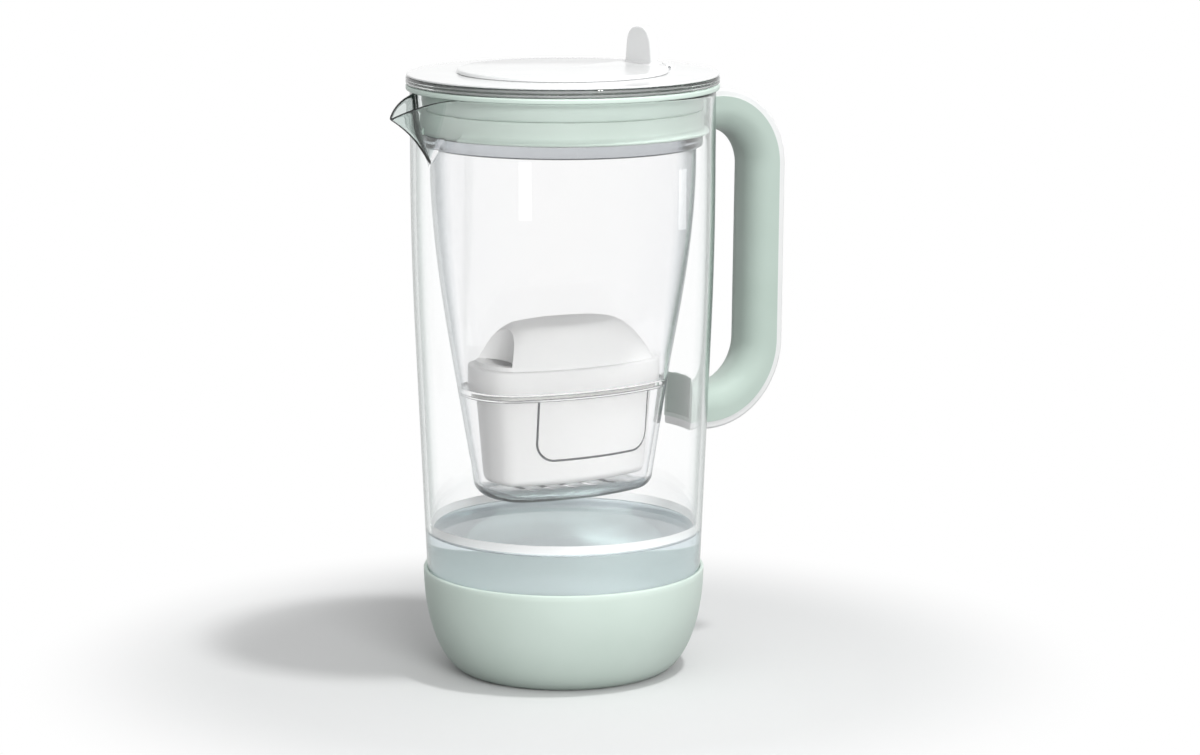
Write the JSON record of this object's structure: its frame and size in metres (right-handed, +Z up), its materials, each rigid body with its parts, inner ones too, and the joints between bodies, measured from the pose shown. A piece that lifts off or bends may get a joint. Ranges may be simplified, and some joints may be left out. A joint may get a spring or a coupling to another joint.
{
  "type": "water filter pitcher",
  "caption": "Tall glass filter jug with a soft green foot, green and white handle, clear hopper with an oval cartridge, and a white lid with a flip flap.",
  "frame": {"origin": "centre of the flat underside of the sleeve, on the axis of the jug", "axes": "+Z up along the axis of the jug, +X towards the handle, -X towards the spout, +Y to the left of the handle seen from the spout"},
  "size_m": [0.1976, 0.1386, 0.2874],
  "materials": {
    "clear_glass": "clear, smooth",
    "clear_plastic": "clear, slightly smoky injection-moulded plastic",
    "green_silicone": "matt sage green",
    "green_plastic": "satin sage green",
    "green_soft_plastic": "soft-touch sage green",
    "white_plastic": "satin white",
    "white_silicone": "matt translucent white",
    "adhesive_film": "clear cured adhesive",
    "sieve_mesh": "fine woven mesh",
    "filter_granules": "mixed dark granules",
    "steel_pin": "drawn"
  },
  "bodies": {
    "jug": {"glass_jug": "clear_glass", "base_sleeve": "green_silicone", "handle_grip": "green_soft_plastic", "handle_back_shell": "white_plastic", "handle_bond_upper": "adhesive_film", "handle_bond_lower": "adhesive_film"},
    "hopper": {"hopper": "clear_plastic", "collar_ring": "green_plastic", "collar_seal": "green_silicone"},
    "cartridge": {"cartridge_cup": "white_plastic", "cartridge_cap": "white_plastic", "cartridge_seal": "white_silicone", "cartridge_inlet_mesh": "sieve_mesh", "cartridge_outlet_mesh": "sieve_mesh", "filter_media": "filter_granules"},
    "lid": {"lid_ring": "clear_plastic", "lid_panel": "white_plastic", "hinge_pin": "steel_pin"},
    "flap": {"flap": "white_plastic"}
  },
  "joints": [
    {"name": "hopper_lift", "type": "slide", "parent": "jug", "child": "hopper", "axis": [0, 0, 1], "range_m": [0, 0.19]},
    {"name": "cartridge_lift", "type": "slide", "parent": "hopper", "child": "cartridge", "axis": [0, 0, 1], "range_m": [0, 0.103]},
    {"name": "lid_lift", "type": "slide", "parent": "hopper", "child": "lid", "axis": [0, 0, 1], "range_m": [0, 0.06]},
    {"name": "flap_hinge", "type": "hinge", "parent": "lid", "child": "flap", "pos_m": [0.049, 0, 0.2694], "axis": [0, 1, 0], "range_deg": [0, 80]}
  ]
}
